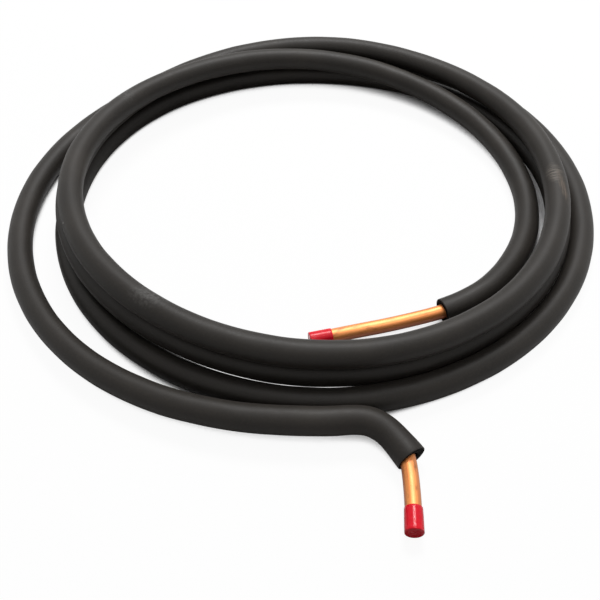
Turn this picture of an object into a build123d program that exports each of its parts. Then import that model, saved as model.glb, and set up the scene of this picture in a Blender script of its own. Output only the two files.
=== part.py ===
"""A loose coil of soft copper tube in a black foam sleeve, lying flat, with a push-on cap on each bare end.

Millimetres, +Z up. The coil lies on the floor at Z = 0, with the Z axis in the middle of its eye.
The tube starts at its outer end, in front, runs clockwise seen from above through four turns
(front, left, back, right), and ends inside the coil, at the front again.
"""
import math
import os

from build123d import *

# Copper tube
TUBE_DIAMETER = 15.88
TUBE_WALL = 1.0

# Foam sleeve round the tube
SLEEVE_WALL = 6.35
SLEEVE_CLEARANCE = 0.3

# Coil: the radius that its turns lie about, and the room between strands that rest on each other
COIL_RADIUS = 303.5
STRAND_CLEARANCE = 0.4

# Bare copper at the outer end, from the sleeve to the mouth of the cap
OUTER_STUB = 53.0

# Push-on caps
CAP_LENGTH = 25.0
CAP_WALL = 1.0
CAP_END_WALL = 1.5
CAP_CLEARANCE = 0.1
CAP_EDGE_RADIUS = 0.7
CAP_DIMPLE_DIAMETER = 5.0
CAP_DIMPLE_DEPTH = 0.5
CAP_LIFT = 0.3

# Each turn at eight stations, from the front round by the left, in shares of the pitch:
# how far the strand lies outside the coil radius, and how far it is raised off the floor
STATIONS = 8
TURN_OFFSET_SHARES = [
    [1.65, 2.17, 2.07, 1.60, 1.60, 1.69, 1.04, 0.70],
    [0.61, 0.35, 0.20, 0.42, 0.22, 0.03, 0.07, -0.24],
    [-0.30, -0.33, 0.08, 0.41, 0.66, 0.18, -0.32, -0.21],
    [-0.18, -0.20, -0.28, -0.42, -0.42, -0.90, -1.18, -1.74],
]
TURN_LEVEL_SHARES = [
    [0.39, 0.16, 0.00, 0.00, 0.00, 0.00, 0.00, 0.00],
    [0.00, 0.00, 0.00, 0.00, 0.00, 0.19, 0.44, 0.34],
    [0.53, 0.91, 1.00, 1.01, 1.27, 1.29, 1.44, 1.35],
    [1.56, 2.00, 1.94, 1.60, 1.15, 0.55, 0.00, 0.15],
]

# The outer end, from the sleeve's mouth to the first turn, in shares of the pitch:
# right of the middle, outside the coil radius, raised off the floor
OUTER_END_SHARES = [
    (2.95, 2.91, 0.02),
    (2.49, 2.22, 0.13),
    (2.02, 1.78, 0.24),
    (1.40, 1.55, 0.33),
]
# How far the outer stub swings to the left and droops, as shares of its length
OUTER_SWING_SHARE = 0.057
OUTER_DROOP_SHARE = 0.02

# The inner end, past the last station: the sleeve's mouth, two bends of the bare tube, and its end
# angle in shares of a station's angle, then offset from the coil radius in shares of the pitch
INNER_END_SHARES = [
    (0.21, -2.13),
    (0.54, -2.57),
    (0.78, -2.65),
    (1.04, -2.38),
]

# Points of the path from one station to the next, and the share of a run that an arc takes
STEPS = 3
ARC_SHARE = 0.45

# Worked out from the sizes above
SLEEVE_BORE = TUBE_DIAMETER + 2 * SLEEVE_CLEARANCE
SLEEVE_DIAMETER = SLEEVE_BORE + 2 * SLEEVE_WALL
PITCH = SLEEVE_DIAMETER + STRAND_CLEARANCE
FLOOR_LEVEL = SLEEVE_DIAMETER / 2
CAP_BORE = TUBE_DIAMETER + 2 * CAP_CLEARANCE
CAP_DIAMETER = CAP_BORE + 2 * CAP_WALL
CAP_DEPTH = CAP_LENGTH - CAP_END_WALL
CAP_LEVEL = CAP_DIAMETER / 2 + CAP_LIFT
STATION_ANGLE = 2 * math.pi / STATIONS
STEP_ANGLE = STATION_ANGLE / STEPS


def on_coil(angle, offset_share, level):
    """A point at an angle from the front round by the left, off the coil radius, at a height."""
    radius = COIL_RADIUS + offset_share * PITCH
    return Vector(-radius * math.sin(angle), -radius * math.cos(angle), level)


def between(values, i, t):
    """The smooth curve through a row of values, t of the way from value i to the next."""
    before, start, end, after = (values[min(max(k, 0), len(values) - 1)] for k in range(i - 1, i + 3))
    leave = (end - before) / 2
    arrive = (after - start) / 2
    rise = 3 * (end - start) - 2 * leave - arrive
    ease = 2 * (start - end) + leave + arrive
    return start + leave * t + rise * t**2 + ease * t**3


def turn_points():
    """The turns' corners: a polygon round each stretch, so that its arcs lie at the stated radius."""
    offsets = sum(TURN_OFFSET_SHARES, [])
    levels = sum(TURN_LEVEL_SHARES, [])
    outside_share = COIL_RADIUS / PITCH * (1 / math.cos(STEP_ANGLE / 2) - 1)
    points = []
    for step in range((len(offsets) - 1) * STEPS + 1):
        i, part_step = divmod(step, STEPS)
        offset = between(offsets, i, part_step / STEPS) + outside_share
        level = FLOOR_LEVEL + PITCH * max(between(levels, i, part_step / STEPS), 0)
        points.append(on_coil(step * STEP_ANGLE, offset, level))
    return points


def outer_points():
    """The outer end, from the tube's end through the sleeve's mouth to the first turn."""
    points = []
    for right, outside, raised in OUTER_END_SHARES:
        points.append(Vector(right * PITCH, -COIL_RADIUS - outside * PITCH, FLOOR_LEVEL + raised * PITCH))
    stub = OUTER_STUB + CAP_DEPTH
    end = points[0] + Vector(-OUTER_SWING_SHARE, -1, -OUTER_DROOP_SHARE) * stub
    return [end] + points


def inner_points():
    """The inner end, from the sleeve's mouth down to the tube's end, close to the floor."""
    last_angle = (len(sum(TURN_OFFSET_SHARES, [])) - 1) * STATION_ANGLE
    mouth_share, end_share = INNER_END_SHARES[0][0], INNER_END_SHARES[-1][0]
    points = []
    for angle_share, offset_share in INNER_END_SHARES:
        down = (angle_share - mouth_share) / (end_share - mouth_share)
        level = FLOOR_LEVEL + (CAP_LEVEL - FLOOR_LEVEL) * down
        points.append(on_coil(last_angle + angle_share * STATION_ANGLE, offset_share, level))
    return points


def corner_radii(points, plain_end):
    """Each corner's arc, as large as its runs allow. The two end runs keep plain_end straight."""
    runs = [(b - a).length for a, b in zip(points, points[1:])]
    runs[0] -= plain_end
    runs[-1] -= plain_end
    radii = []
    for i in range(1, len(points) - 1):
        turn = (points[i] - points[i - 1]).get_angle(points[i + 1] - points[i])
        radii.append(ARC_SHARE * min(runs[i - 1], runs[i]) / math.tan(math.radians(turn) / 2))
    return radii


def sweep_round(diameter, path):
    """A round bar along a path."""
    start = Plane(path @ 0, z_dir=path % 0)
    return sweep(start * Circle(diameter / 2), path=path)


def end_cap(tube_end, inside):
    """A cup pushed over the tube's end. inside is a point on the tube's axis, back from its end."""
    edge = CAP_DIAMETER / 2 - CAP_EDGE_RADIUS
    with BuildPart() as cap:
        with BuildSketch(Plane.XZ):
            with BuildLine():
                wall = Polyline(
                    (0, 0),
                    (CAP_BORE / 2, 0),
                    (CAP_BORE / 2, -CAP_DEPTH),
                    (CAP_DIAMETER / 2, -CAP_DEPTH),
                    (CAP_DIAMETER / 2, CAP_END_WALL - CAP_EDGE_RADIUS),
                )
                end = RadiusArc(wall @ 1, (edge, CAP_END_WALL), -CAP_EDGE_RADIUS)
                Polyline(
                    end @ 1,
                    (CAP_DIMPLE_DIAMETER / 2, CAP_END_WALL),
                    (0, CAP_END_WALL - CAP_DIMPLE_DEPTH),
                    (0, 0),
                )
            make_face()
        revolve(axis=Axis.Z)
    return Plane(tube_end, z_dir=tube_end - inside) * cap.part


def main():
    outer, inner = outer_points(), inner_points()
    tube_route = outer + turn_points() + inner
    radii = corner_radii(tube_route, CAP_DEPTH)
    tube_path = FilletPolyline(*tube_route, radius=radii)
    # the sleeve's route is the tube's, without the bare ends
    bare_end = len(inner) - 1
    sleeve_path = FilletPolyline(*tube_route[1:-bare_end], radius=radii[1:-bare_end])

    tube = sweep_round(TUBE_DIAMETER, tube_path) - sweep_round(TUBE_DIAMETER - 2 * TUBE_WALL, tube_path)
    sleeve = sweep_round(SLEEVE_DIAMETER, sleeve_path) - sweep_round(SLEEVE_BORE, tube_path)
    nodes = {
        "copper_tube": tube,
        "foam_sleeve": sleeve,
        "end_cap_outer": end_cap(tube_route[0], tube_route[1]),
        "end_cap_inner": end_cap(tube_route[-1], tube_route[-2]),
    }
    os.makedirs("parts", exist_ok=True)
    for name, part in nodes.items():
        export_step(part, f"parts/{name}.step")

    ring = math.pi * (TUBE_DIAMETER - TUBE_WALL) * TUBE_WALL
    foam = math.pi * (SLEEVE_DIAMETER - SLEEVE_WALL) * SLEEVE_WALL
    for part, path, section in ((tube, tube_path, ring), (sleeve, sleeve_path, foam)):
        print(f"length {path.length:.0f}, volume {part.volume:.0f}, by section {section * path.length:.0f}")
    print(f"tightest arc {min(radii):.1f}")


main()
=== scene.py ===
import math

import bpy
import numpy as np
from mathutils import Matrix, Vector

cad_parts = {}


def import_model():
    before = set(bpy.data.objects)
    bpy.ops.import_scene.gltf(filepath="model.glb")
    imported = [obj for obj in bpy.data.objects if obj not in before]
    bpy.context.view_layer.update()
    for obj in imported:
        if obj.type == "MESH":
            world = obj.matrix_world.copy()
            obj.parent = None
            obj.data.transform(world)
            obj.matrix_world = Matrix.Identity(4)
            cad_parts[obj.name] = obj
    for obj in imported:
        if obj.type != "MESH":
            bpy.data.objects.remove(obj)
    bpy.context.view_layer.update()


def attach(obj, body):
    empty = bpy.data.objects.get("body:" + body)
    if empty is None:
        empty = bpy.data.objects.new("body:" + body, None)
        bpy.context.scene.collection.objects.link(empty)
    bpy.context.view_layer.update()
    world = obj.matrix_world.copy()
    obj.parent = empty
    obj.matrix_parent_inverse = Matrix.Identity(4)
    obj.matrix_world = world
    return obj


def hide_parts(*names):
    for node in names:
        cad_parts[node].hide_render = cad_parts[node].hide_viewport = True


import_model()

# A loose coil of copper tube in a foam sleeve, with a cap on each bare end. Each piece is a mesh of
# rings along the route of the part's source. Lengths are in metres, and angles in degrees.

# Sizes of the part's source
TUBE_DIAMETER = 0.01588
TUBE_WALL = 0.001
SLEEVE_WALL = 0.00635
SLEEVE_CLEARANCE = 0.0003
COIL_RADIUS = 0.3035
STRAND_CLEARANCE = 0.0004
OUTER_STUB = 0.053
CAP_LENGTH = 0.025
CAP_WALL = 0.001
CAP_END_WALL = 0.0015
CAP_CLEARANCE = 0.0001
CAP_LIFT = 0.0003

# Route of the part's source: each turn at eight stations, from the front round by the left, in shares
# of the pitch. The offsets say how far the strand lies outside the coil radius, and the levels how far
# it is raised off the floor. Two stretches that lie under other strands, on the right of the second
# turn and the front left of the third, are up to 4.5 mm from the solids, as the photograph shows them
STATIONS = 8
TURN_OFFSET_SHARES = [
    [1.65, 2.17, 2.07, 1.60, 1.60, 1.69, 1.04, 0.70],
    [0.61, 0.35, 0.20, 0.42, 0.22, 0.06, -0.06, -0.24],
    [-0.26, -0.18, 0.08, 0.41, 0.66, 0.18, -0.32, -0.21],
    [-0.18, -0.20, -0.28, -0.42, -0.42, -0.90, -1.18, -1.74],
]
TURN_LEVEL_SHARES = [
    [0.39, 0.16, 0.00, 0.00, 0.00, 0.00, 0.00, 0.00],
    [0.00, 0.00, 0.00, 0.00, 0.00, 0.19, 0.44, 0.34],
    [0.53, 0.91, 1.00, 1.01, 1.27, 1.29, 1.44, 1.35],
    [1.56, 2.00, 1.94, 1.60, 1.15, 0.55, 0.00, 0.15],
]
# The outer end, from the sleeve's mouth: right of the middle, outside the coil radius, off the floor
OUTER_END_SHARES = [(2.95, 2.91, 0.02), (2.49, 2.22, 0.13), (2.02, 1.78, 0.24), (1.40, 1.55, 0.33)]
OUTER_SWING_SHARE = 0.057
OUTER_DROOP_SHARE = 0.02
# The inner end, from the sleeve's mouth: angle in shares of a station's, offset in shares of the pitch
INNER_END_SHARES = [(0.21, -2.13), (0.54, -2.57), (0.78, -2.65), (1.04, -2.38)]
STEPS = 3

# Worked out from the sizes above
SLEEVE_BORE = TUBE_DIAMETER + 2 * SLEEVE_CLEARANCE
SLEEVE_DIAMETER = SLEEVE_BORE + 2 * SLEEVE_WALL
PITCH = SLEEVE_DIAMETER + STRAND_CLEARANCE
FLOOR_LEVEL = SLEEVE_DIAMETER / 2
CAP_BORE = TUBE_DIAMETER + 2 * CAP_CLEARANCE
CAP_DIAMETER = CAP_BORE + 2 * CAP_WALL
CAP_DEPTH = CAP_LENGTH - CAP_END_WALL
CAP_LEVEL = CAP_DIAMETER / 2 + CAP_LIFT
STATION_ANGLE = 2 * math.pi / STATIONS
STEP_ANGLE = STATION_ANGLE / STEPS

# Meshes: steps of the smooth line from corner to corner, points of a ring, the room between rings on
# the skin, along the tube and in the bore, and the closer rings near the ends of these two
LINE_STEPS = 40
AROUND = 48
SKIN_RING = 0.0052
TUBE_RING = 0.018
TUBE_END_RING = 0.003
BORE_END_RING = 0.006
END_LENGTH = 0.16
# The mesh attribute that holds each point's place on the straightened tube
STRAIGHT = "straight"

# The skin's shape, which the foam's softness gives: how far it stands proud, its waves as
# (size, wavelength, lobes round it, phase), and the flare of the outer and the inner mouth
SKIN_PROUD = 0.00012
SKIN_WAVES = [
    (0.00010, 0.310, 1, 0.4), (0.00009, 0.173, 2, 2.1), (0.00007, 0.087, 1, 4.0),
    (0.00005, 0.061, 3, 1.2), (0.00004, 0.041, 2, 5.3),
]
MOUTH_FLARES = (0.0011, 0.0005)
FLARE_LENGTH = 0.018

# The sleeve's cut ends: the rounded rim and the turns of its rings, the rings of the cut face as shares
# of the way in, the ripple that the knife left, and the mouth, which is wider than the bore
RIM_ROUND = 0.0007
RIM_TURNS = (60, 30, 0)
CUT_SHARES = (0.35, 0.7)
CUT_RIPPLE = 0.0003
CUT_LOBES = 3
CUT_PHASE = 1.0
MOUTH_RADIUS = 0.0098
MOUTH_DEPTH = 0.016

# The caps: rings inside the cup, as shares of its bore and its depth
CAP_FLOOR_SHARE = 0.75
CAP_BORE_SHARE = 0.5
# the lip's wall at the mouth, its inner bevel, and its outer one as (inwards, along)
CAP_LIP = 0.0007
CAP_LIP_INNER = 0.0001
CAP_LIP_OUTER = (0.0002, 0.0003)
# the side, which widens quickly from the lip to a little more than the solid's plain cup
CAP_SIDE_SHARES = (0.1, 0.3, 0.6, 0.95)
CAP_SIDE_POWER = 0.6
CAP_SWELL = 0.0001
# the rounded edge, and the end as (share of the radius, depth below the end's plane)
CAP_ROUND = 0.0009
CAP_ROUND_TURNS = (0, 25, 50, 70, 90)
CAP_END = [
    (0.80, 0.0), (0.77, 0.0002), (0.73, 0.0003), (0.40, 0.0003), (0.28, 0.0003), (0.25, 0.0005), (0, 0.0007),
]
# the middle of the end is a ring this small
CAP_POLE = 0.00002

# Marks on the foam, each an ellipsoid of the frame that the skin passes through, as (middle, half
# sizes): pale scratches across a strand, brown rubbing along it, dust, and bare flecks. A mark is
# whole within MARK_CORE of its size and fades out from there
SCRATCHES = [((0.2915, -0.0150, 0.070), (0.012, 0.022, 0.015))]
RUBBED = [((0.2950, -0.0400, 0.070), (0.0055, 0.036, 0.015))]
DUST = [
    ((-0.1690, -0.2370, 0.085), (0.030, 0.020, 0.012)),
    ((-0.2560, 0.1530, 0.074), (0.016, 0.026, 0.014)),
]
FLECKS = [
    ((-0.2848, -0.1212, 0.0811), (0.0014, 0.0020, 0.0014)),
    ((-0.2622, 0.1422, 0.075), (0.0022, 0.0034, 0.0060)),
    ((-0.2496, 0.1643, 0.072), (0.0018, 0.0030, 0.0060)),
]
MARK_CORE = 0.35

# Painted shade: the copper is darkened on its underside, between these heights over the tube's axis
UNDERSIDE_SHADE_HEIGHTS = (0.0054, 0.0010)

# The floor: its half width, its grey for the light that it throws back and as it is shown, its glow,
# and how open the room over it is, within a reach, where the glow starts and where it is full
FLOOR_HALF = 8.0
FLOOR_BOUNCE = (0.40, 0.40, 0.40)
FLOOR_SHOWN = (0.98, 0.98, 0.98)
FLOOR_GLOW = 0.95
GAP_REACH = 0.06
GAP_OPENNESS = (0.15, 0.32)

# The light: the world's strength as a light and as it is shown, and the lamps, which point at the
# origin, as (name, place, size, watts)
WORLD_FILL = 0.06
WORLD_SHOWN = 1.0
LAMPS = [
    ("back", (0.25, 1.60, 3.00), (1.4, 1.0), 99),
    ("overhead", (0.30, -0.20, 2.60), (1.6, 1.2), 14),
]

# The camera, at the photograph's angle, with its lens and its place from the coil's own widths there.
# A tilt of 0 looks straight down
CAMERA_PLACE = (-0.01926, -0.85089, 0.70061)
CAMERA_TILT = 44.5
CAMERA_LENS_MM = 51.06
CAMERA_SENSOR_MM = 36


def on_coil(angle, offset_share, level):
    """A point at an angle from the front round by the left, off the coil radius, at a height."""
    radius = COIL_RADIUS + offset_share * PITCH
    return (-radius * math.sin(angle), -radius * math.cos(angle), level)


def between(values, i, t):
    """The smooth curve through a row of values, t of the way from value i to the next."""
    before, start, end, after = (values[min(max(k, 0), len(values) - 1)] for k in range(i - 1, i + 3))
    leave = (end - before) / 2
    arrive = (after - start) / 2
    rise = 3 * (end - start) - 2 * leave - arrive
    ease = 2 * (start - end) + leave + arrive
    return start + leave * t + rise * t**2 + ease * t**3


def turn_points():
    """The corners of the turns' route."""
    offsets = sum(TURN_OFFSET_SHARES, [])
    levels = sum(TURN_LEVEL_SHARES, [])
    outside_share = COIL_RADIUS / PITCH * (1 / math.cos(STEP_ANGLE / 2) - 1)
    points = []
    for step in range((len(offsets) - 1) * STEPS + 1):
        i, part_step = divmod(step, STEPS)
        offset = between(offsets, i, part_step / STEPS) + outside_share
        level = FLOOR_LEVEL + PITCH * max(between(levels, i, part_step / STEPS), 0)
        points.append(on_coil(step * STEP_ANGLE, offset, level))
    return points


def outer_points():
    """The outer end's corners, from the tube's end through the sleeve's mouth to the first turn."""
    points = []
    for right, outside, raised in OUTER_END_SHARES:
        points.append((right * PITCH, -COIL_RADIUS - outside * PITCH, FLOOR_LEVEL + raised * PITCH))
    stub = OUTER_STUB + CAP_DEPTH
    x, y, z = points[0]
    return [(x - OUTER_SWING_SHARE * stub, y - stub, z - OUTER_DROOP_SHARE * stub)] + points


def inner_points():
    """The inner end's corners, from the sleeve's mouth down to the tube's end."""
    last_angle = (len(sum(TURN_OFFSET_SHARES, [])) - 1) * STATION_ANGLE
    mouth_share, end_share = INNER_END_SHARES[0][0], INNER_END_SHARES[-1][0]
    points = []
    for angle_share, offset_share in INNER_END_SHARES:
        down = (angle_share - mouth_share) / (end_share - mouth_share)
        level = FLOOR_LEVEL + (CAP_LEVEL - FLOOR_LEVEL) * down
        points.append(on_coil(last_angle + angle_share * STATION_ANGLE, offset_share, level))
    return points


def smooth_line(points):
    """The points that Blender's own NURBS spline gives for a route's corners."""
    curve = bpy.data.curves.new("route", "CURVE")
    curve.dimensions = "3D"
    curve.resolution_u = LINE_STEPS
    spline = curve.splines.new("NURBS")
    spline.points.add(len(points) - 1)
    for control, point in zip(spline.points, points):
        control.co = (*point, 1)
    spline.order_u = 3
    spline.use_endpoint_u = True
    carrier = bpy.data.objects.new("route", curve)
    bpy.context.scene.collection.objects.link(carrier)
    bpy.context.view_layer.update()
    mesh = bpy.data.meshes.new_from_object(carrier)
    line = np.array([vertex.co for vertex in mesh.vertices])
    bpy.data.objects.remove(carrier)
    bpy.data.curves.remove(curve)
    bpy.data.meshes.remove(mesh)
    return line


class Line:
    """A smooth line that can be asked for its place and its frame at any length along it."""

    def __init__(self, points):
        self.points = points
        steps = np.linalg.norm(np.diff(points, axis=0), axis=1)
        self.at = np.concatenate([[0], np.cumsum(steps)])
        self.length = self.at[-1]
        tangents = np.gradient(points, self.at, axis=0)
        self.tangents = tangents / np.linalg.norm(tangents, axis=1)[:, None]

    def place(self, lengths):
        return np.stack([np.interp(lengths, self.at, self.points[:, k]) for k in range(3)], axis=1)

    def frames(self, lengths):
        """The line's direction, its right-hand side and its upper side."""
        along = np.stack([np.interp(lengths, self.at, self.tangents[:, k]) for k in range(3)], axis=1)
        along /= np.linalg.norm(along, axis=1)[:, None]
        right = np.cross(along, (0, 0, 1))
        right /= np.linalg.norm(right, axis=1)[:, None]
        return along, right, np.cross(right, along)

    def frame(self, length):
        """The place, the direction, the right-hand side and the upper side at one length."""
        return self.place([length])[0], *(axis[0] for axis in self.frames([length]))

    def crossing(self, point, direction):
        """The length at which the line crosses the plane through a point, nearest to that point."""
        ahead = (self.points - point) @ direction
        i = np.nonzero(np.sign(ahead[:-1]) != np.sign(ahead[1:]))[0]
        i = i[np.argmin(np.linalg.norm(self.points[i] - point, axis=1))]
        return self.at[i] + (self.at[i + 1] - self.at[i]) * ahead[i] / (ahead[i] - ahead[i + 1])


def spaced(start, end, spacing):
    """Even lengths from start to end."""
    return np.linspace(start, end, max(2, round((end - start) / spacing) + 1))


def closer_at_ends(start, end, spacing, end_spacing):
    """Lengths from start to end, closer together near both."""
    near, far = start + END_LENGTH, end - END_LENGTH
    return np.concatenate([
        spaced(start, near, end_spacing),
        spaced(near, far, spacing)[1:-1],
        spaced(far, end, end_spacing),
    ])


ANGLES = np.linspace(0, 2 * np.pi, AROUND, endpoint=False)
CIRCLE = np.stack([np.cos(ANGLES), np.sin(ANGLES)], axis=1)


def rings(line, lengths, radii):
    """Rings of points square to the line, and their places on the straightened tube. radii is one
    number, or one for each ring and point."""
    _, right, up = line.frames(lengths)
    spokes = CIRCLE[None, :, :1] * right[:, None, :] + CIRCLE[None, :, 1:] * up[:, None, :]
    radii = np.broadcast_to(radii, (len(lengths), AROUND))
    straight = np.stack([
        np.broadcast_to(np.asarray(lengths)[:, None], radii.shape),
        radii * CIRCLE[None, :, 0],
        radii * CIRCLE[None, :, 1],
    ], axis=2)
    return line.place(lengths)[:, None, :] + radii[:, :, None] * spokes, straight


def ring_mesh(name, loops, straight):
    """A closed mesh of rings, each joined to the next and the last to the first."""
    here = np.arange(len(loops))
    there = (here + 1) % len(loops)
    k = np.arange(AROUND)
    k_next = (k + 1) % AROUND
    quads = np.stack([
        here[:, None] * AROUND + k,
        there[:, None] * AROUND + k,
        there[:, None] * AROUND + k_next,
        here[:, None] * AROUND + k_next,
    ], axis=2).reshape(-1, 4)
    mesh = bpy.data.meshes.new(name)
    mesh.from_pydata(loops.reshape(-1, 3).tolist(), [], quads.tolist())
    attribute = mesh.attributes.new(STRAIGHT, "FLOAT_VECTOR", "POINT")
    attribute.data.foreach_set("vector", straight.reshape(-1).astype(np.float32))
    mesh.polygons.foreach_set("use_smooth", [True] * len(mesh.polygons))
    mesh.update()
    piece = bpy.data.objects.new(name, mesh)
    bpy.context.scene.collection.objects.link(piece)
    return piece


def swell(lengths, length):
    """The skin's departures from the sleeve's radius: slow waves along and round it, and flared mouths."""
    s = np.asarray(lengths)[:, None]
    wave = np.full((len(lengths), AROUND), SKIN_PROUD)
    for size, wavelength, lobes, phase in SKIN_WAVES:
        wave += size * np.sin(2 * np.pi * s / wavelength + lobes * ANGLES[None, :] + phase)
    for flare, from_end in zip(MOUTH_FLARES, (s, length - s)):
        wave += flare * np.exp(-((from_end / FLARE_LENGTH) ** 2))
    return wave


def sleeve_end(sleeve_line, tube_line, length, sign):
    """A cut end of the sleeve: its rounded rim, its cut face and the mouth of its bore. sign is 1 where
    the sleeve starts and -1 where it ends. Also gives the tube's length at the mouth."""
    radius = SLEEVE_DIAMETER / 2 + swell([length + sign * RIM_ROUND], sleeve_line.length)
    turn = np.radians(RIM_TURNS)
    at = length + sign * RIM_ROUND * (1 - np.cos(turn))
    rim, rim_straight = rings(sleeve_line, at, radius - RIM_ROUND * (1 - np.sin(turn))[:, None])

    centre, along, right, up = sleeve_line.frame(length)
    at_mouth = tube_line.crossing(centre, along)
    tube_centre = tube_line.place([at_mouth])[0]
    # the mouth lies against the tube on the side where the tube crosses it
    room = MOUTH_RADIUS - TUBE_DIAMETER / 2 - SLEEVE_CLEARANCE
    aside = centre - tube_centre
    mouth_centre = tube_centre + aside * min(1, room / np.linalg.norm(aside))
    mouth = mouth_centre + MOUTH_RADIUS * (CIRCLE[:, :1] * right + CIRCLE[:, 1:] * up)
    ripple = CUT_RIPPLE * np.sin(CUT_LOBES * ANGLES + CUT_PHASE)[:, None] * along
    face = []
    for share in CUT_SHARES:
        face.append(rim[-1] + (mouth - rim[-1]) * share + ripple * math.sin(math.pi * share))
    inner_loops = np.array(face + [mouth])
    straight = np.concatenate([rim_straight, np.repeat(rim_straight[-1:], len(inner_loops), axis=0)])
    return np.concatenate([rim, inner_loops]), straight, at_mouth


def sleeve_piece(sleeve_line, tube_line):
    """The foam sleeve: its skin, its two cut ends and its bore round the tube."""
    length = sleeve_line.length
    skin_at = spaced(RIM_ROUND, length - RIM_ROUND, SKIN_RING)
    skin, skin_straight = rings(sleeve_line, skin_at, SLEEVE_DIAMETER / 2 + swell(skin_at, length))
    first, first_straight, first_mouth = sleeve_end(sleeve_line, tube_line, 0.0, 1)
    last, last_straight, last_mouth = sleeve_end(sleeve_line, tube_line, length, -1)
    bore_start, bore_end = first_mouth + MOUTH_DEPTH, last_mouth - MOUTH_DEPTH
    bore_at = closer_at_ends(bore_start, bore_end, TUBE_RING, BORE_END_RING)[::-1]
    bore, bore_straight = rings(tube_line, bore_at, SLEEVE_BORE / 2)
    loops = np.concatenate([first[::-1], skin, last, bore])
    straight = np.concatenate([first_straight[::-1], skin_straight, last_straight, bore_straight])
    piece = ring_mesh("foam_skin", loops, straight)
    # the faces behind the rims are cut foam
    cut = np.ones(len(loops), dtype=np.int32)
    rim_rings = len(RIM_TURNS)
    cut[len(first) - rim_rings:len(first) + len(skin) + rim_rings - 1] = 0
    piece.data.polygons.foreach_set("material_index", np.repeat(cut, AROUND))
    return piece


def tube_piece(tube_line):
    """The copper tube, finely ringed where it stands bare, with a cut ring at each end."""
    at = closer_at_ends(0, tube_line.length, TUBE_RING, TUBE_END_RING)
    outside, outside_straight = rings(tube_line, at, TUBE_DIAMETER / 2)
    inside, inside_straight = rings(tube_line, at[::-1], TUBE_DIAMETER / 2 - TUBE_WALL)
    loops = np.concatenate([outside, inside])
    return ring_mesh("drawn_tube", loops, np.concatenate([outside_straight, inside_straight]))


def cap_profile():
    """A cap's outline, from inside its end out over the mouth to the middle of its end:
    distance from the axis, then length outwards from the tube's end."""
    bore, mouth, edge = CAP_BORE / 2, CAP_BORE / 2 + CAP_LIP, CAP_DIAMETER / 2 + CAP_SWELL
    inside = [
        (CAP_POLE, 0),
        (CAP_FLOOR_SHARE * bore, 0),
        (bore, 0),
        (bore, -CAP_BORE_SHARE * CAP_DEPTH),
        (bore, CAP_LIP_INNER - CAP_DEPTH),
    ]
    lip = [
        (bore + CAP_LIP_INNER, -CAP_DEPTH),
        (mouth - CAP_LIP_OUTER[0], -CAP_DEPTH),
        (mouth, CAP_LIP_OUTER[1] - CAP_DEPTH),
    ]
    side = []
    for share in CAP_SIDE_SHARES:
        side.append((mouth + (edge - mouth) * share**CAP_SIDE_POWER, (share - 1) * CAP_DEPTH))
    rounding = []
    for turn in np.radians(CAP_ROUND_TURNS):
        radius = edge - CAP_ROUND * (1 - math.cos(turn))
        rounding.append((radius, CAP_END_WALL - CAP_ROUND * (1 - math.sin(turn))))
    end = [(max(share * edge, CAP_POLE), CAP_END_WALL - sunk) for share, sunk in CAP_END]
    return inside + lip + side + rounding + end


def cap_piece(name, line, length, sign):
    """A soft cap pushed over the tube's end, turned about the end's own line. sign is 1 where the line
    runs out of the tube there, and -1 where it runs in."""
    centre, along, right, up = line.frame(length)
    spokes = CIRCLE[:, :1] * right * sign + CIRCLE[:, 1:] * up
    loops, straight = [], []
    for radius, out in cap_profile():
        loops.append(centre + out * along * sign + radius * spokes)
        straight.append(np.concatenate([np.full((AROUND, 1), out), radius * CIRCLE], axis=1))
    return ring_mesh(name, np.array(loops), np.array(straight))


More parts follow.
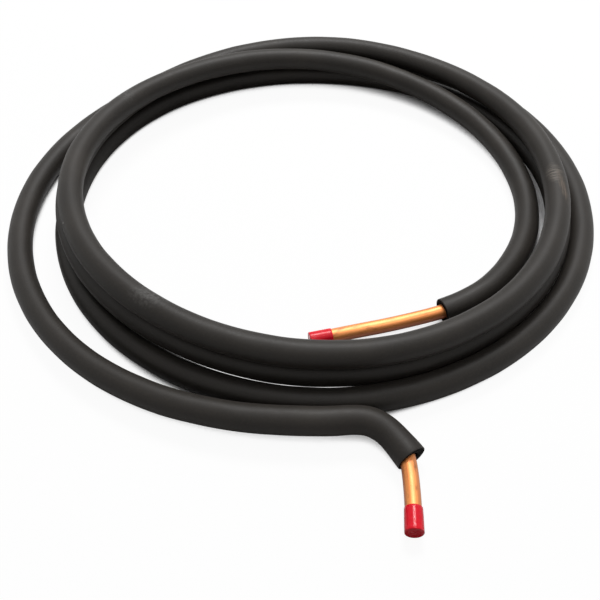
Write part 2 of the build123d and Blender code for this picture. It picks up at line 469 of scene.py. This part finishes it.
class Shading:
    """A node tree, and the kinds of node that the materials are made of. Each gives its output."""

    def __init__(self, tree):
        self.nodes, self.links = tree.nodes, tree.links

    def feed(self, socket, value):
        """Links another node's output to a socket, or sets the socket's own value."""
        if isinstance(value, bpy.types.NodeSocket):
            self.links.new(value, socket)
        elif socket.type == "RGBA":
            socket.default_value = (*value, 1)
        else:
            socket.default_value = value

    def fill(self, node, inputs):
        for name, value in inputs.items():
            self.feed(node.inputs[name], value)

    def in_frame(self):
        """Coordinates in the part's frame."""
        return self.nodes.new("ShaderNodeTexCoord").outputs["Object"]

    def straightened(self, stretch=(1, 1, 1)):
        """Coordinates on the straightened tube."""
        attribute = self.nodes.new("ShaderNodeAttribute")
        attribute.attribute_name = STRAIGHT
        mapping = self.nodes.new("ShaderNodeMapping")
        self.fill(mapping, {"Vector": attribute.outputs["Vector"], "Scale": stretch})
        return mapping.outputs["Vector"]

    def noise(self, vector, scale, detail, roughness=0.55):
        node = self.nodes.new("ShaderNodeTexNoise")
        self.fill(node, {"Vector": vector, "Scale": scale, "Detail": detail, "Roughness": roughness})
        return node.outputs["Fac"]

    def ramp(self, value, stops):
        """A colour ramp from (place, colour) stops."""
        node = self.nodes.new("ShaderNodeValToRGB")
        elements = node.color_ramp.elements
        while len(elements) < len(stops):
            elements.new(1.0)
        for element, (place, colour) in zip(elements, stops):
            element.position = place
            element.color = (*colour, 1)
        self.fill(node, {"Fac": value})
        return node.outputs["Color"]

    def spread(self, value, limits, to):
        """A value, held within limits, spread evenly over a new range."""
        node = self.nodes.new("ShaderNodeMapRange")
        self.fill(node, {
            "Value": value, "From Min": limits[0], "From Max": limits[1], "To Min": to[0], "To Max": to[1],
        })
        return node.outputs["Result"]

    def blend(self, factor, first, second):
        """One colour where the factor is 0, the other where it is 1."""
        node = self.nodes.new("ShaderNodeMix")
        node.data_type = "RGBA"
        inputs = {socket.identifier: socket for socket in node.inputs}
        self.feed(inputs["Factor_Float"], factor)
        self.feed(inputs["A_Color"], first)
        self.feed(inputs["B_Color"], second)
        return next(socket for socket in node.outputs if socket.identifier == "Result_Color")

    def combine(self, operation, first, second):
        node = self.nodes.new("ShaderNodeMath")
        node.operation = operation
        self.feed(node.inputs[0], first)
        self.feed(node.inputs[1], second)
        return node.outputs[0]

    def mark(self, middle, half_sizes):
        """1 about the middle of an ellipsoid in the frame, falling to 0 at its surface."""
        mapping = self.nodes.new("ShaderNodeMapping")
        mapping.vector_type = "TEXTURE"
        self.fill(mapping, {"Vector": self.in_frame(), "Location": middle, "Scale": half_sizes})
        distance = self.nodes.new("ShaderNodeVectorMath")
        distance.operation = "LENGTH"
        self.feed(distance.inputs[0], mapping.outputs["Vector"])
        return self.spread(distance.outputs["Value"], (MARK_CORE, 1), (1, 0))

    def bump(self, heights):
        """Bumps laid on each other, each a (height, strength, distance)."""
        below = {}
        for height, strength, distance in heights:
            node = self.nodes.new("ShaderNodeBump")
            self.fill(node, {"Height": height, "Strength": strength, "Distance": distance, **below})
            below = {"Normal": node.outputs["Normal"]}
        return below["Normal"]

    def seen_directly(self):
        """1 or 0: is the ray from the camera, and is it that or a reflection or refraction."""
        path = self.nodes.new("ShaderNodeLightPath").outputs
        mirrored = self.combine("MAXIMUM", path["Is Glossy Ray"], path["Is Transmission Ray"])
        return path["Is Camera Ray"], self.combine("MAXIMUM", path["Is Camera Ray"], mirrored)


def new_material(name):
    material = bpy.data.materials.new(name)
    material.use_nodes = True
    return material, Shading(material.node_tree), material.node_tree.nodes["Principled BSDF"]


def foam_material():
    """Black closed-cell foam: a smooth matt skin, dusty in patches, with faint lines from its extrusion."""
    material, shading, shader = new_material("foam")
    skin = shading.straightened()
    patches = shading.noise(skin, scale=14, detail=5, roughness=0.6)
    mottle = shading.noise(skin, scale=330, detail=5, roughness=0.65)
    lines = shading.noise(shading.straightened((0.03, 1, 1)), scale=420, detail=3)
    cells = shading.noise(skin, scale=1500, detail=3, roughness=0.7)
    colour = shading.ramp(patches, [
        (0.30, (0.0180, 0.0157, 0.0135)),
        (0.52, (0.0230, 0.0200, 0.0171)),
        (0.72, (0.0315, 0.0274, 0.0233)),
    ])
    mottled = shading.spread(mottle, (0.45, 0.75), (0, 0.30))
    colour = shading.blend(mottled, colour, (0.050, 0.0437, 0.0372))
    lined = shading.spread(lines, (0.50, 0.75), (0, 0.18))
    colour = shading.blend(lined, colour, (0.041, 0.0353, 0.0300))
    across = shading.noise(shading.straightened((1, 0.12, 0.12)), scale=700, detail=3)
    along = shading.noise(shading.straightened((0.12, 1, 1)), scale=500, detail=3)
    marks = [
        (SCRATCHES, across, (0.150, 0.132, 0.114)),
        (RUBBED, along, (0.125, 0.100, 0.080)),
        (DUST, mottle, (0.085, 0.082, 0.078)),
        (FLECKS, None, (0.42, 0.40, 0.37)),
    ]
    for places, broken_by, tint in marks:
        for middle, half_sizes in places:
            cover = shading.mark(middle, half_sizes)
            if broken_by is not None:
                kept = shading.spread(broken_by, (0.42, 0.62), (0.1, 1))
                cover = shading.combine("MULTIPLY", cover, kept)
            colour = shading.blend(cover, colour, tint)
    shading.fill(shader, {
        "Base Color": colour,
        "Roughness": shading.spread(mottle, (0.3, 0.7), (0.45, 0.56)),
        "Specular IOR Level": 0.22,
        "Normal": shading.bump([(cells, 0.25, 0.0003), (mottle, 0.12, 0.0008), (lines, 0.10, 0.0004)]),
    })
    return material


def cut_foam_and_painted_shade_material():
    """The same foam where a knife went through it: dull, full of small open cells, and darker, partly for
    those cells and partly as painted shade on the cut face.
    """
    material, shading, shader = new_material("foam_cut_and_painted_shade")
    place = shading.in_frame()
    cells = shading.nodes.new("ShaderNodeTexVoronoi")
    shading.fill(cells, {"Vector": place, "Scale": 1400})
    grain = shading.noise(place, scale=600, detail=4)
    # painted shade: the cut face's colour is near black, darker than the skin, partly for its open cells and
    # partly for the shade that it stands in
    shading.fill(shader, {
        "Base Color": shading.ramp(grain, [
            (0.35, (0.004, 0.0038, 0.0035)),
            (0.70, (0.011, 0.0105, 0.010)),
        ]),
        "Roughness": 0.9,
        "Specular IOR Level": 0.05,
        "Normal": shading.bump([(cells.outputs["Distance"], 0.5, 0.0004), (grain, 0.3, 0.0006)]),
    })
    return material


def copper_material():
    """Drawn soft copper: bright, with lengthwise streaks and brown tarnish stains, and painted shade that
    darkens its underside.
    """
    material, shading, shader = new_material("copper")
    streaks = shading.noise(shading.straightened((0.02, 1, 1)), scale=520, detail=4)
    stains = shading.noise(shading.straightened((0.35, 1, 1)), scale=150, detail=5, roughness=0.6)
    scores = shading.noise(shading.straightened((0.01, 1, 1)), scale=2600, detail=2)
    colour = shading.ramp(streaks, [
        (0.30, (0.54, 0.17, 0.040)),
        (0.55, (0.72, 0.27, 0.072)),
        (0.80, (0.83, 0.37, 0.12)),
    ])
    stained = shading.spread(stains, (0.56, 0.72), (0, 0.8))
    colour = shading.blend(stained, colour, (0.28, 0.09, 0.024))
    # painted shade: the copper's colour is darkened towards the lower side of the tube
    place = shading.nodes.new("ShaderNodeSeparateXYZ")
    shading.fill(place, {"Vector": shading.straightened()})
    painted_underside_shade = shading.spread(place.outputs["Z"], UNDERSIDE_SHADE_HEIGHTS, (0, 0.88))
    colour = shading.blend(painted_underside_shade, colour, (0.20, 0.044, 0.010))
    shading.fill(shader, {
        "Base Color": colour,
        "Metallic": 1.0,
        "Roughness": shading.spread(stains, (0.35, 0.75), (0.53, 0.63)),
        "Coat Weight": 0.7,
        "Coat Roughness": 0.40,
        "Normal": shading.bump([(scores, 0.10, 0.0002), (streaks, 0.06, 0.0004)]),
    })
    return material


def vinyl_material():
    """Glossy soft red vinyl, a little cloudy."""
    material, shading, shader = new_material("red_vinyl")
    surface = shading.straightened()
    cloud = shading.noise(surface, scale=240, detail=4)
    grain = shading.noise(surface, scale=1800, detail=3)
    shading.fill(shader, {
        "Base Color": shading.ramp(cloud, [
            (0.30, (0.90, 0.007, 0.022)),
            (0.55, (0.97, 0.010, 0.030)),
            (0.78, (0.99, 0.024, 0.048)),
        ]),
        "Roughness": shading.spread(cloud, (0.3, 0.7), (0.16, 0.24)),
        "Specular IOR Level": 0.20,
        "Subsurface Weight": 0.3,
        "Subsurface Radius": (1.0, 0.15, 0.12),
        "Subsurface Scale": 0.003,
        "Normal": shading.bump([(grain, 0.06, 0.0003), (cloud, 0.10, 0.0008)]),
    })
    return material


def dress(piece, material, node):
    """Gives a piece its material and its body, and hides the CAD node that it stands for."""
    piece.data.materials.append(material)
    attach(piece, "root")
    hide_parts(node)
    return piece


def floor():
    """A plain white floor that keeps the coil's shadow, which is deep in the gaps between strands."""
    mesh = bpy.data.meshes.new("floor")
    corners = [(x * FLOOR_HALF, y * FLOOR_HALF, 0) for x, y in ((-1, -1), (1, -1), (1, 1), (-1, 1))]
    mesh.from_pydata(corners, [], [(0, 1, 2, 3)])
    piece = bpy.data.objects.new("floor", mesh)
    bpy.context.scene.collection.objects.link(piece)
    material, shading, shader = new_material("floor")
    nodes = shading.nodes
    nodes.remove(shader)
    from_camera, direct = shading.seen_directly()
    paper = nodes.new("ShaderNodeBsdfDiffuse")
    shading.fill(paper, {"Color": shading.blend(direct, FLOOR_BOUNCE, FLOOR_SHOWN)})
    openness = nodes.new("ShaderNodeAmbientOcclusion")
    shading.fill(openness, {"Distance": GAP_REACH})
    glow_share = shading.spread(openness.outputs["AO"], GAP_OPENNESS, (0, FLOOR_GLOW))
    mix = nodes.new("ShaderNodeMixShader")
    shading.feed(mix.inputs["Fac"], shading.combine("MULTIPLY", from_camera, glow_share))
    shading.feed(mix.inputs[1], paper.outputs["BSDF"])
    shading.feed(mix.inputs[2], nodes.new("ShaderNodeEmission").outputs["Emission"])
    shading.fill(nodes["Material Output"], {"Surface": mix.outputs["Shader"]})
    mesh.materials.append(material)


def world():
    """White to look at, and a weak even light."""
    studio = bpy.data.worlds.new("studio")
    studio.use_nodes = True
    shading = Shading(studio.node_tree)
    _, direct = shading.seen_directly()
    strength = shading.spread(direct, (0, 1), (WORLD_FILL, WORLD_SHOWN))
    shading.fill(shading.nodes["Background"], {"Color": (1, 1, 1), "Strength": strength})
    bpy.context.scene.world = studio


def lamp(name, place, size, power):
    data = bpy.data.lights.new(name, "AREA")
    data.shape = "RECTANGLE"
    data.size, data.size_y = size
    data.energy = power
    piece = bpy.data.objects.new(name, data)
    piece.location = place
    piece.rotation_euler = (-Vector(place)).to_track_quat("-Z", "Y").to_euler()
    bpy.context.scene.collection.objects.link(piece)


def camera():
    data = bpy.data.cameras.new("camera")
    data.sensor_width = CAMERA_SENSOR_MM
    data.lens = CAMERA_LENS_MM
    piece = bpy.data.objects.new("camera", data)
    piece.location = CAMERA_PLACE
    piece.rotation_euler = (math.radians(CAMERA_TILT), 0, 0)
    bpy.context.scene.collection.objects.link(piece)
    bpy.context.scene.camera = piece


inner = inner_points()
route = outer_points() + turn_points() + inner
tube_line = Line(smooth_line(route))
# the sleeve's route is the tube's, without the bare ends
sleeve_line = Line(smooth_line(route[1:1 - len(inner)]))

foam, copper, vinyl = foam_material(), copper_material(), vinyl_material()
sleeve = dress(sleeve_piece(sleeve_line, tube_line), foam, "foam_sleeve")
sleeve.data.materials.append(cut_foam_and_painted_shade_material())
dress(tube_piece(tube_line), copper, "copper_tube")
dress(cap_piece("red_cap_outer", tube_line, 0.0, -1), vinyl, "end_cap_outer")
dress(cap_piece("red_cap_inner", tube_line, tube_line.length, 1), vinyl, "end_cap_inner")

floor()
world()
for name, place, size, power in LAMPS:
    lamp(name, place, size, power)
camera()
bpy.context.scene.view_settings.view_transform = "Standard"
